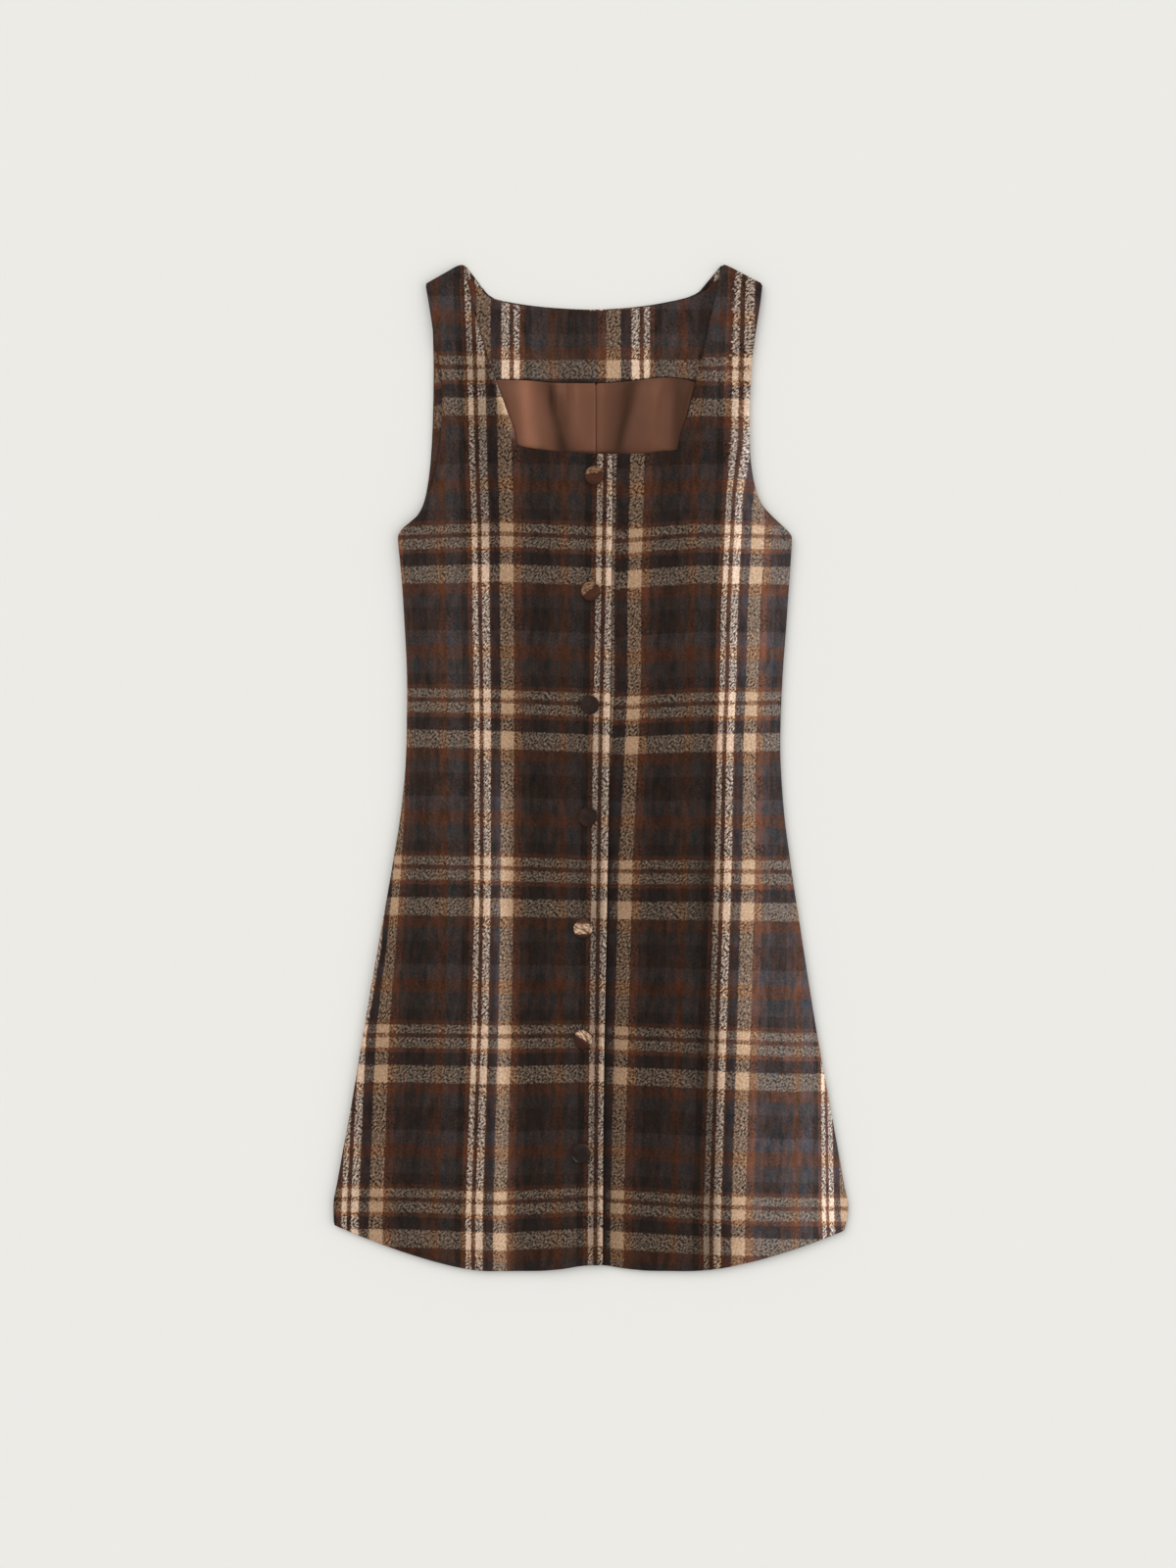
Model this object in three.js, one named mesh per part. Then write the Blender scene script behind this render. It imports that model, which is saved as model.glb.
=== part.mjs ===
// A sleeveless pinafore dress in checked wool, laid flat on its back with its buttoned front up.
// Millimetres. X runs across the dress, Y from hem to shoulder, and Z up from the surface it lies on.
import * as THREE from "three";

// Driving dimensions
const CLOTH = 2.2; // wool cloth with its turned edges
const FACING = 1.6; // the same cloth, single, inside the back neck and armholes
const LINING = 0.9;
const SEAM = 0.3; // between pieces that are sewn together or lie on each other
const LENGTH = 899; // strap tips to the lowest point of the hem
const HEM_LOW = -LENGTH / 2;
const HEM_FLAT = 0.42; // share of the half width over which the hem stays level
const HEM_CURVE = {
  left: { rise: 41, power: 1.4 }, // how far and how sharply the hem curves up to each side seam
  right: { rise: 36, power: 1.5 },
};
const HEM_FADE = 150; // height over which the rows of a panel straighten above the hem
const LAP_RISE = 5.5; // of the hem where the two fronts lap
const LAP_MIDDLE = 4;
const NECK_LEVEL = 285; // the square front neckline
const NECK_DIP = 5.5; // how far it sinks at its middle
const NECK_MIDDLE = 18;
const STRAP_TOP = 449.5; // inner end of the shoulder seam
const STRAP_SLOPE = 18; // how much lower its outer end is
const BUTTON_RADIUS = 8.5;
const BUTTON_HEIGHT = 6;
const SHANK_RADIUS = 3;
const SHANK_HEIGHT = 1.2;
const OVERLAP = 22; // each front runs this far past the button line

// Levels of the undersides, from the layers below
const ON_BACK = CLOTH + SEAM;
const ON_FACING = ON_BACK + FACING + SEAM;
const FRONT_LEVEL = 5.2; // where a front lies over the back and the hidden linings
const HEM_LEVEL = 3.6; // and near the hem
const STRAP_LEVEL = 4.8;
const LINING_RISE = 1.2; // added where the fronts lie on the lining

// The dress's outer edge: a row for each level, with the edge on each side as it lies
const OUTLINE = [
  { y: -412, left: -228.4, right: 226.8 },
  { y: -399, left: -230.2, right: 230.4 },
  { y: -365, left: -225.0, right: 225.0 },
  { y: -295, left: -212.3, right: 212.5 },
  { y: -225, left: -200.8, right: 200.0 },
  { y: -155, left: -188.6, right: 189.0 },
  { y: -85, left: -176.3, right: 178.5 },
  { y: -32, left: -168.2, right: 172.0 },
  { y: 20, left: -164.2, right: 169.3 },
  { y: 73, left: -163.6, right: 171.0 },
  { y: 125, left: -165.8, right: 174.6 },
  { y: 178, left: -169.3, right: 178.2 },
  { y: 206, left: -171.9, right: 179.8 },
  { y: 214, left: -167.0, right: 173.0 },
  { y: 223, left: -156.6, right: 163.0 },
  { y: 234, left: -150.0, right: 152.8 },
  { y: 248, left: -146.4, right: 146.8 },
  { y: 274, left: -143.0, right: 142.6 },
  { y: 309, left: -141.2, right: 141.8 },
  { y: 353, left: -140.4, right: 143.5 },
  { y: 392, left: -141.4, right: 148.0 },
  { y: 414, left: -144.4, right: 151.6 },
  { y: 432, left: -147.4, right: 153.6 },
  { y: 450, left: -150.0, right: 155.6 },
];

// How far the front's armhole edge lies inside the back's, where a strip of the facing shows
const ARMHOLE_SHIFT = [
  { y: 215, left: 0, right: 0 },
  { y: 234, left: 2.5, right: 0 },
  { y: 262, left: 6.5, right: 0 },
  { y: 290, left: 8.5, right: 0 },
  { y: 345, left: 8, right: 0 },
  { y: 385, left: 1, right: 0 },
  { y: 400, left: 0, right: 0 },
];

// The inner edge of each front strap, and below the neckline the line that carries it on to the hem
const STRAP_INNER = [
  { y: -450, left: -112, right: 112 },
  { y: 20, left: -80, right: 88 },
  { y: 230, left: -66, right: 77 },
  { y: 285, left: -65.5, right: 77.5 },
  { y: 315, left: -74.0, right: 86.5 },
  { y: 355, left: -87.5, right: 96.8 },
  { y: 400, left: -102.0, right: 107.0 },
  { y: 450, left: -113.0, right: 118.0 },
];

// The button line and the folded edge of the front that laps over it lean slightly, as the dress lies
const CENTRE = [
  { y: -450, buttons: -9.5, fold: 11.0 },
  { y: -344, buttons: -8.3, fold: 11.4 },
  { y: -242, buttons: -6.8, fold: 12.6 },
  { y: -143, buttons: -6.6, fold: 14.6 },
  { y: -44, buttons: -2.6, fold: 16.4 },
  { y: 55, buttons: -0.6, fold: 17.6 },
  { y: 157, buttons: 0.2, fold: 18.8 },
  { y: 260, buttons: 3.6, fold: 19.6 },
  { y: 300, buttons: 4.0, fold: 19.6 },
];

// The back neckline, left to right between the strap ends
const BACK_NECK = [
  { x: -92, y: 422.5 },
  { x: -84, y: 418 },
  { x: -55, y: 412.6 },
  { x: -28, y: 410 },
  { x: 5, y: 408.8 },
  { x: 42, y: 411.3 },
  { x: 70, y: 415.8 },
  { x: 88, y: 420.2 },
  { x: 97, y: 424.5 },
];

// The facing's lower edge across the back
const FACING_EDGE = [
  { x: -92, y: 346.6 },
  { x: -60, y: 345.8 },
  { x: -24, y: 343.4 },
  { x: 8, y: 343.2 },
  { x: 42, y: 346 },
  { x: 66, y: 348.3 },
  { x: 80, y: 347.5 },
  { x: 98, y: 343 },
];

// Soft folds of the fronts: each runs down from top to foot, and stands up or sinks by its height
const FOLDS = [
  { topX: -98, footX: -112, top: 60, foot: -520, width: 26, height: 0.6 },
  { topX: -62, footX: -66, top: -90, foot: -560, width: 20, height: -0.6 },
  { topX: -140, footX: -176, top: 0, foot: -500, width: 22, height: 0.5 },
  { topX: 118, footX: 104, top: 70, foot: -560, width: 24, height: 0.7 },
  { topX: 78, footX: 74, top: -60, foot: -560, width: 18, height: -0.6 },
  { topX: 150, footX: 170, top: 10, foot: -520, width: 22, height: 0.5 },
  { topX: -104, footX: -40, top: 250, foot: 60, width: 24, height: 0.4 },
  { topX: 112, footX: 60, top: 250, foot: 60, width: 24, height: 0.4 },
];

// Folds of the back lining, which hangs loose below the facing
const LINING_FOLDS = [
  { x: -74, width: 12, height: 0.9 },
  { x: -44, width: 9, height: 1.1 },
  { x: -18, width: 7, height: 0.7 },
  { x: 36, width: 10, height: 0.8 },
  { x: 70, width: 13, height: 1.0 },
];

const WOOL = { color: 0x4a3329, roughness: 0.95, metalness: 0 };
const SATIN = { color: 0x7d5642, roughness: 0.45, metalness: 0 };

const mix = THREE.MathUtils.lerp;
const smooth = THREE.MathUtils.smoothstep;
const bell = (t) => Math.exp(-t * t);

// A column of a table at any level, as one smooth curve that never overshoots its rows
function along(table, column, y, key = "y") {
  const last = table.length - 1;
  const at = THREE.MathUtils.clamp(y, table[0][key], table[last][key]);
  let i = 0;
  while (i < last - 1 && at > table[i + 1][key]) i += 1;
  const slope = (a) => {
    const rise = table[a + 1][column] - table[a][column];
    return rise / (table[a + 1][key] - table[a][key]);
  };
  const tangent = (a) => {
    if (a === 0) return slope(0);
    if (a === last) return slope(last - 1);
    const before = slope(a - 1);
    const after = slope(a);
    return before * after <= 0 ? 0 : (2 * before * after) / (before + after);
  };
  const span = table[i + 1][key] - table[i][key];
  const t = (at - table[i][key]) / span;
  const [t2, t3] = [t * t, t * t * t];
  return (
    (2 * t3 - 3 * t2 + 1) * table[i][column] +
    (t3 - 2 * t2 + t) * span * tangent(i) +
    (3 * t2 - 2 * t3) * table[i + 1][column] +
    (t3 - t2) * span * tangent(i + 1)
  );
}

function range(from, to, step) {
  const count = Math.max(1, Math.round(Math.abs(to - from) / step));
  return Array.from({ length: count + 1 }, (_, i) => mix(from, to, i / count));
}

const hemFade = (level) => 1 - smooth(level, HEM_LOW, HEM_LOW + HEM_FADE);

// How far a row of a panel is lifted at a share of the half width, 0 at the centre and 1 at the side
function hemLift(side, level, share) {
  const { rise, power } = HEM_CURVE[side];
  const out = Math.max(0, (Math.abs(share) - HEM_FLAT) / (1 - HEM_FLAT));
  return rise * out ** power * hemFade(level);
}

// The small rise of the hem where the two fronts lap
function lapLift(level, x) {
  return LAP_RISE * bell((x - LAP_MIDDLE) / 28) * hemFade(level);
}

// The front neckline dips towards the centre
function neckDip(level, x) {
  const out = Math.abs(x - NECK_MIDDLE);
  const dip = 1 - smooth(out, 8, 92) - smooth(out, 62, 110);
  const below = smooth(level, NECK_LEVEL - 70, NECK_LEVEL);
  const above = smooth(level, NECK_LEVEL, NECK_LEVEL + 60);
  return -NECK_DIP * dip * (below - above);
}

function foldHeight(x, y) {
  let height = 0;
  for (const fold of FOLDS) {
    const t = (fold.top - y) / (fold.top - fold.foot);
    if (t <= 0 || t >= 1) continue;
    const run = smooth(t, 0, 0.3) * (1 - smooth(t, 0.8, 1));
    height += fold.height * run * bell((x - mix(fold.topX, fold.footX, t)) / fold.width);
  }
  return height;
}

const underLap = (y) => ON_BACK + 0.1 + LINING_RISE * smooth(y, 212, 240);

// The underside of a front at a point: it rests on what is under its edge and rolls up to its own level
function frontUnderside(side, x, y) {
  const edge = along(OUTLINE, side, y);
  const inward = Math.abs(edge - x);
  const rest = mix(ON_BACK, ON_FACING, smooth(y, 148, 178));
  const body = mix(HEM_LEVEL, FRONT_LEVEL, smooth(y, HEM_LOW, HEM_LOW + 130));
  const open = mix(body, STRAP_LEVEL, smooth(y, NECK_LEVEL, NECK_LEVEL + 50));
  let z = mix(rest, open, smooth(inward, 0, 28));
  z += foldHeight(x, y) * smooth(inward, 4, 30);
  const shoulder = mix(STRAP_TOP, STRAP_TOP - STRAP_SLOPE, smooth(Math.abs(x), 113, 150));
  z = mix(z, ON_BACK, smooth(y, shoulder - 9, shoulder - 1));
  if (y > NECK_LEVEL + 12) return z;
  const fold = along(CENTRE, "fold", y);
  if (side === "left") return mix(z, underLap(y) + CLOTH + SEAM, smooth(x, fold - 68, fold - 46));
  return mix(underLap(y), z, smooth(x, fold + 4, fold + 30));
}

// Rows of a front from hem to shoulder: the outer columns run on into the strap, the others stop
// at the neckline
function frontGrid(side) {
  const outer = 6;
  const inner = 7;
  const underarm = range(195, 243, 6);
  const levels = [...range(HEM_LOW, 188, 24), ...underarm, ...range(256, NECK_LEVEL, 14)];
  const strap = range(NECK_LEVEL + 14, STRAP_TOP, 15);
  const sign = side === "left" ? -1 : 1;
  const points = [];
  const row = (level, columns) => {
    const drop = STRAP_SLOPE * smooth(level, NECK_LEVEL, STRAP_TOP);
    const edgeY = level + hemLift(side, level, 1) - drop;
    const edgeX = along(OUTLINE, side, edgeY) - sign * along(ARMHOLE_SHIFT, side, edgeY);
    const strapX = along(STRAP_INNER, side, level);
    const fold = along(CENTRE, "fold", level);
    const centreX = side === "left" ? fold : along(CENTRE, "buttons", level) - OVERLAP;
    for (let c = 0; c <= columns; c += 1) {
      const inStrap = c <= outer;
      const x = inStrap ? mix(edgeX, strapX, c / outer) : mix(strapX, centreX, (c - outer) / inner);
      const tip = drop * Math.max(0, 1 - c / outer);
      const hem = hemLift(side, level, x / edgeX) + lapLift(level, x);
      const y = level + hem + neckDip(level, x) - tip;
      points.push(new THREE.Vector3(x, y, frontUnderside(side, x, y)));
    }
  };
  levels.forEach((level) => row(level, outer + inner));
  strap.forEach((level) => row(level, outer));
  const quads = [];
  const width = outer + inner + 1;
  const start = (r) => Math.min(r, levels.length) * width + Math.max(0, r - levels.length) * (outer + 1);
  for (let r = 0; r < levels.length + strap.length - 1; r += 1) {
    const columns = r < levels.length - 1 ? outer + inner : outer;
    for (let c = 0; c < columns; c += 1) {
      quads.push([start(r) + c, start(r) + c + 1, start(r + 1) + c + 1, start(r + 1) + c]);
    }
  }
  if (side === "left") return { points, quads };
  return { points, quads: quads.map((quad) => [...quad].reverse()) };
}

// A wall of even thickness on a patch of quads that face up, closed round the patch's own edge
function wall({ points, quads }, thickness) {
  const count = points.length;
  const positions = [];
  points.forEach((p) => positions.push(p.x, p.y, p.z));
  points.forEach((p) => positions.push(p.x, p.y, p.z + thickness));
  const index = [];
  const edges = new Set();
  for (const [a, b, c, d] of quads) {
    index.push(a, c, b, a, d, c);
    index.push(a + count, b + count, c + count, a + count, c + count, d + count);
    [[a, b], [b, c], [c, d], [d, a]].forEach(([from, to]) => edges.add(`${from},${to}`));
  }
  for (const edge of edges) {
    const [from, to] = edge.split(",").map(Number);
    if (edges.has(`${to},${from}`)) continue;
    index.push(from, to, to + count, from, to + count, from + count);
  }
  const geometry = new THREE.BufferGeometry();
  geometry.setAttribute("position", new THREE.Float32BufferAttribute(positions, 3));
  geometry.setIndex(index);
  geometry.computeVertexNormals();
  return geometry;
}

// The back: one flat piece with the dress's whole outline, its hem a little inside the front's
function backShape() {
  const inside = 0.6;
  const underarm = [200, 206, 210, 214, 218, 223, 228, 234, 241, 248];
  const levels = [-407, -399, ...range(-365, 190, 40), ...underarm, ...range(261, 432, 19)];
  const point = (side, y) => new THREE.Vector2(along(OUTLINE, side, y) * (1 - inside / 230), y);
  const hem = range(0.98, -0.98, 0.06).map((share) => {
    const side = share < 0 ? "left" : "right";
    const x = share * 228.5;
    return new THREE.Vector2(x, HEM_LOW + inside + hemLift(side, HEM_LOW, share) + lapLift(HEM_LOW, x));
  });
  return new THREE.Shape([
    ...levels.map((y) => point("left", y)),
    new THREE.Vector2(-118, STRAP_TOP - 1),
    new THREE.Vector2(-112, STRAP_TOP - 1),
    ...BACK_NECK.map(({ x, y }) => new THREE.Vector2(x, y)),
    new THREE.Vector2(117, STRAP_TOP - 1),
    new THREE.Vector2(122, STRAP_TOP - 1),
    ...levels.map((y) => point("right", y)).reverse(),
    ...hem,
  ]);
}

// The facing: round the back neck and down both armholes, with its lower edge showing in the neck opening
function facingShape() {
  const inset = 1.2;
  const legWidth = 34;
  const levels = [180, 192, 200, 206, 211, 216, 222, 230, 240, 252, 268, 290, 320, 350, 385, 418];
  const legs = [330, 300, 270, 240, 215, 180];
  const outer = (side, y) => {
    const sign = side === "left" ? -1 : 1;
    return new THREE.Vector2(along(OUTLINE, side, y) - sign * inset, y);
  };
  const leg = (side, y) => {
    const sign = side === "left" ? -1 : 1;
    return new THREE.Vector2(along(OUTLINE, side, y) - sign * legWidth, y);
  };
  return new THREE.Shape([
    ...levels.map((y) => outer("left", y)),
    new THREE.Vector2(-108, 436),
    new THREE.Vector2(-97, 425),
    ...BACK_NECK.slice(1, -1).map(({ x, y }) => new THREE.Vector2(x, y - inset)),
    new THREE.Vector2(102, 425),
    new THREE.Vector2(113, 436),
    ...levels.map((y) => outer("right", y)).reverse(),
    ...legs.map((y) => leg("right", y)).reverse(),
    ...range(98, -92, 6.5).map((x) => new THREE.Vector2(x, along(FACING_EDGE, "y", x, "x"))),
    ...legs.map((y) => leg("left", y)),
  ]);
}

function sheet(shape, thickness, level) {
  const geometry = new THREE.ExtrudeGeometry(shape, { depth: thickness, bevelEnabled: false });
  return geometry.translate(0, 0, level);
}

// One half of the back lining, from the facing's edge down behind the front neckline
function liningGrid(fromX, toX) {
  const foot = 250;
  const columns = range(fromX, toX, 6.5);
  const rows = range(0, 1, 1 / 6);
  const points = [];
  for (const t of rows) {
    for (const x of columns) {
      const y = mix(foot, along(FACING_EDGE, "y", x, "x") - 1.5 * SEAM, t);
      const fall = smooth(t, 0.35, 0.62) * (1 - 0.6 * smooth(t, 0.85, 1));
      const fold = LINING_FOLDS.reduce((sum, f) => sum + f.height * bell((x - f.x) / f.width), 0);
      points.push(new THREE.Vector3(x, y, ON_BACK + fold * fall));
    }
  }
  const quads = [];
  for (let r = 0; r < rows.length - 1; r += 1) {
    for (let c = 0; c < columns.length - 1; c += 1) {
      const a = r * columns.length + c;
      quads.push([a, a + 1, a + columns.length + 1, a + columns.length]);
    }
  }
  return { points, quads };
}

// A cloth-covered button: a short shank under a domed head with a rolled rim
function buttonGeometry() {
  const rim = 1.4;
  const profile = [
    new THREE.Vector2(0, 0),
    new THREE.Vector2(SHANK_RADIUS, 0),
    new THREE.Vector2(SHANK_RADIUS, SHANK_HEIGHT),
    new THREE.Vector2(BUTTON_RADIUS - rim, SHANK_HEIGHT),
    new THREE.Vector2(BUTTON_RADIUS - 0.3, SHANK_HEIGHT + 0.7),
    new THREE.Vector2(BUTTON_RADIUS, SHANK_HEIGHT + rim),
    new THREE.Vector2(BUTTON_RADIUS - 0.4, SHANK_HEIGHT + rim + 0.9),
    new THREE.Vector2(BUTTON_RADIUS * 0.78, BUTTON_HEIGHT - 1.2),
    new THREE.Vector2(BUTTON_RADIUS * 0.45, BUTTON_HEIGHT - 0.3),
    new THREE.Vector2(0, BUTTON_HEIGHT),
  ];
  return new THREE.LatheGeometry(profile, 20).rotateX(Math.PI / 2);
}

const dress = new THREE.Group();

function add(name, geometry, finish) {
  const mesh = new THREE.Mesh(geometry, new THREE.MeshStandardMaterial(finish));
  mesh.name = name;
  dress.add(mesh);
  return mesh;
}

const CENTRE_SEAM = 4.8; // of the lining
add("back_panel", sheet(backShape(), CLOTH, 0), WOOL);
add("back_facing", sheet(facingShape(), FACING, ON_BACK), WOOL);
add("back_lining_right", wall(liningGrid(-92, CENTRE_SEAM - SEAM / 2), LINING), SATIN);
add("back_lining_left", wall(liningGrid(CENTRE_SEAM + SEAM / 2, 98), LINING), SATIN);
add("right_front", wall(frontGrid("left"), CLOTH), WOOL);
add("left_front", wall(frontGrid("right"), CLOTH), WOOL);

const BUTTON_LEVELS = [260, 157, 55.5, -44, -143.5, -242.5, -344];
BUTTON_LEVELS.forEach((y, i) => {
  const x = along(CENTRE, "buttons", y);
  const button = add(`button_${i + 1}`, buttonGeometry(), WOOL);
  button.position.set(x, y, frontUnderside("left", x, y) + CLOTH + SEAM);
});

export default dress;
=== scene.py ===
# %% [markdown]
# A checked wool pinafore dress, laid flat on its back on a pale floor.
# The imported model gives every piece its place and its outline. This script gives each piece the form
# and finish of real cloth: pressed and turned edges, soft creases, a woven check and a satin lining.
# It works from above, because a dress that lies flat is a stack of thin sheets seen in plan.

# %% Load the frame
import math

import bpy
import numpy as np
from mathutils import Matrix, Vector, geometry, noise
from mathutils.bvhtree import BVHTree


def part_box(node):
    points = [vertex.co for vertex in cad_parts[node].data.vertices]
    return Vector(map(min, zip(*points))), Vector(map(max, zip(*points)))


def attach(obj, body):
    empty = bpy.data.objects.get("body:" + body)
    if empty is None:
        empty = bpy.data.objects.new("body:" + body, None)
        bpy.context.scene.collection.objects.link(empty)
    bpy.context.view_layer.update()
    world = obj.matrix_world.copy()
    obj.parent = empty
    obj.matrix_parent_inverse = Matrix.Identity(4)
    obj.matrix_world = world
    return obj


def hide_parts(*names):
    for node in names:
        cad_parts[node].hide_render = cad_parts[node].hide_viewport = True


MM = 0.001
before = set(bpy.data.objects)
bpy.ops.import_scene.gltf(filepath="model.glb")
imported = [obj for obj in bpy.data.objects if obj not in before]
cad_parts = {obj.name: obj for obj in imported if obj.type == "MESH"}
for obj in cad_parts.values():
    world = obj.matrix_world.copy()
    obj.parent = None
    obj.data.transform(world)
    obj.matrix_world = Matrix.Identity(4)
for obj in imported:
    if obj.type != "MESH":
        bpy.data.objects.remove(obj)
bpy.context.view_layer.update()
scene = bpy.context.scene
print("pieces in the frame:", sorted(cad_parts))

# %% [markdown]
# The camera looks straight down, as the photograph does, from far enough away that the dress shows
# no perspective. A camera placed close with a wide lens would show the sides of the buttons.

# %% The camera
PHOTO_HEIGHT = 1600
PIXEL = 0.8755 * MM  # what one pixel of the photograph covers on the dress
SENSOR = 36
LENS = 110
camera_data = bpy.data.cameras.new("camera")
camera_data.lens = LENS
camera_data.sensor_width = SENSOR
camera = bpy.data.objects.new("camera", camera_data)
camera_height = PHOTO_HEIGHT * PIXEL * LENS / SENSOR
camera.location = (-2.5 * PIXEL, -17 * PIXEL, camera_height)
scene.collection.objects.link(camera)
scene.camera = camera
print(f"camera {camera_height:.2f} m above the dress")

# %% [markdown]
# The light is a pale even sky with one very broad lamp at the upper left, so folds and buttons turn
# gently from light to shade. The lamp is a sun, because a lamp that stands near would light one
# corner of the floor more than the others.

# %% The floor and the light
SKY = 0.60
# For each lamp: the side it shines from, its strength and its breadth in degrees
LAMPS = {"key_lamp": ((-0.55, 0.62, 0.95), 1.08, 56), "side_lamp": ((0.85, -0.12, 0.70), 0.74, 60)}
scene.view_settings.view_transform = "Standard"
world = bpy.data.worlds.new("sky")
scene.world = world
world.use_nodes = True
world.node_tree.nodes["Background"].inputs["Color"].default_value = (0.985, 0.99, 1.0, 1)
world.node_tree.nodes["Background"].inputs["Strength"].default_value = SKY


for name, (shines_from, strength, breadth) in LAMPS.items():
    lamp_data = bpy.data.lights.new(name, "SUN")
    lamp_data.energy = strength
    lamp_data.angle = math.radians(breadth)
    lamp_data.color = (1.0, 0.985, 0.96)
    lamp = bpy.data.objects.new(name, lamp_data)
    lamp.location = shines_from
    lamp.rotation_euler = (-Vector(shines_from)).to_track_quat("-Z", "Y").to_euler()
    scene.collection.objects.link(lamp)

floor_mesh = bpy.data.meshes.new("floor")
FLOOR = 6.0
corners = [(-FLOOR, -FLOOR, 0), (FLOOR, -FLOOR, 0), (FLOOR, FLOOR, 0), (-FLOOR, FLOOR, 0)]
floor_mesh.from_pydata(corners, [], [(0, 1, 2, 3)])
floor = bpy.data.objects.new("floor", floor_mesh)
floor.location.z = -0.3 * MM
scene.collection.objects.link(floor)

# %% [markdown]
# Short helpers do the sums: a smooth ramp, a soft bump, and a table read between its rows.

# %% Helpers for smooth shapes


def ramp(value, low, high):
    t = np.clip((np.asarray(value, float) - low) / (high - low), 0, 1)
    return t * t * (3 - 2 * t)


def bell(value):
    return np.exp(-np.square(value))


def read_table(rows, column, at):
    """One column of a table, between its rows, for the places in the first column."""
    rows = sorted(rows)
    return np.interp(at, [r[0] for r in rows], [r[column] for r in rows])


def rough(points, size, seed):
    """Smooth noise from -1 to 1 over the plan, with bumps of about that size."""
    scaled = np.asarray(points) / size
    return np.array([noise.noise((x, y, seed)) for x, y in scaled])


# %% [markdown]
# Each piece is cut to the outline of its solid. The solid's rim is a ring of upright faces, so the
# edges between the rim and the top are its outline. Joining the edges end to end gives the pattern
# piece, and softening its corners by two or three millimetres gives what turned cloth has.

# %% The outline of a solid, seen from above
CORNER_SOFTENING = 2
OUTLINE_STEP = 3 * MM


def plan_outline(node):
    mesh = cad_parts[node].data
    normals = {}
    for face in mesh.polygons:
        for key in face.edge_keys:
            ends = tuple(tuple(round(c, 5) for c in mesh.vertices[i].co) for i in key)
            normals.setdefault(tuple(sorted(ends)), []).append(face.normal.z)
    follows = {}
    for (a, b), up in normals.items():
        if max(up) > 0.6 and abs(min(up)) < 0.3:
            follows.setdefault(a, []).append(b)
            follows.setdefault(b, []).append(a)
    start = min(follows)
    ring = [start, follows[start][0]]
    while True:
        ahead = [p for p in follows[ring[-1]] if p != ring[-2]][0]
        if ahead == start:
            break
        ring.append(ahead)
    return np.array(ring)[:, :2]


def resample(ring, step):
    closed = np.vstack([ring, ring[:1]])
    lengths = np.linalg.norm(np.diff(closed, axis=0), axis=1)
    travel = np.concatenate([[0], np.cumsum(lengths)])
    count = int(travel[-1] / step)
    at = np.linspace(0, travel[-1], count, endpoint=False)
    return np.stack([np.interp(at, travel, closed[:, k]) for k in (0, 1)], axis=1)


def soften(ring, passes):
    for _ in range(passes):
        ring = (np.roll(ring, 1, axis=0) + 2 * ring + np.roll(ring, -1, axis=0)) / 4
    return ring


def round_long_turns(ring, sharp=22):
    """Bends the straight runs between an outline's points into curves, except at its corners."""
    before, after = np.roll(ring, 1, axis=0), np.roll(ring, -1, axis=0)
    way_in, way_out = ring - before, after - ring
    turn = np.degrees(np.abs(np.arctan2(
        way_in[:, 0] * way_out[:, 1] - way_in[:, 1] * way_out[:, 0], (way_in * way_out).sum(1))))
    tangent = (after - before) / 2
    curve = []
    for i in range(len(ring)):
        j = (i + 1) % len(ring)
        span = ring[j] - ring[i]
        reach = np.linalg.norm(span)
        start, end = (
            span if turn[k] > sharp else tangent[k] * reach / max(np.linalg.norm(tangent[k]), 1e-9)
            for k in (i, j))
        for t in np.linspace(0, 1, max(2, int(reach / MM)), endpoint=False):
            curve.append(
                (2 * t**3 - 3 * t**2 + 1) * ring[i] + (t**3 - 2 * t**2 + t) * start
                + (3 * t**2 - 2 * t**3) * ring[j] + (t**3 - t**2) * end)
    return np.array(curve)


def cut_line(node):
    ring = round_long_turns(plan_outline(node))
    ring = soften(resample(ring, MM), CORNER_SOFTENING)
    ring = resample(ring, OUTLINE_STEP)
    area = 0.5 * np.sum(ring[:, 0] * np.roll(ring[:, 1], -1) - ring[:, 1] * np.roll(ring[:, 0], -1))
    return ring if area > 0 else ring[::-1]


def ring_normals(ring):
    """The way out of a ring that runs counter-clockwise, at each of its points."""
    along = np.roll(ring, -1, axis=0) - np.roll(ring, 1, axis=0)
    out = np.stack([along[:, 1], -along[:, 0]], axis=1)
    return out / np.maximum(np.linalg.norm(out, axis=1, keepdims=True), 1e-9)


def distance_in(points, ring):
    """How far each point lies from the ring."""
    a, b = ring, np.roll(ring, -1, axis=0)
    run = b - a
    length = np.maximum((run * run).sum(1), 1e-15)
    nearest = np.full(len(points), np.inf)
    for k in range(0, len(points), 800):
        p = points[k : k + 800, None, :]
        t = np.clip(((p - a) * run).sum(2) / length, 0, 1)
        gap = np.linalg.norm(p - a - t[..., None] * run, axis=2)
        nearest[k : k + 800] = gap.min(1)
    return nearest


def inside(points, ring):
    a, b = ring, np.roll(ring, -1, axis=0)
    x, y = points[:, 0, None], points[:, 1, None]
    crosses = (a[:, 1] > y) != (b[:, 1] > y)
    rise = np.where(np.abs(b[:, 1] - a[:, 1]) < 1e-12, 1e-12, b[:, 1] - a[:, 1])
    left = x < (b[:, 0] - a[:, 0]) * (y - a[:, 1]) / rise + a[:, 0]
    return (crosses & left).sum(1) % 2 == 1


print("points on the right front's outline:", len(cut_line("right_front")))

# %% [markdown]
# A sheet of cloth could be a flat plane with a Solidify modifier, but its edge would be a sharp step.
# Here the plan is filled with small triangles, lifted to its height, given a second layer below, and
# the two layers are joined by a half-round rim, which is how a turned or folded edge looks.

# %% From a plan to a sheet with rounded edges
GRID = 3.6 * MM
RIM_STEPS = 4


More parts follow.
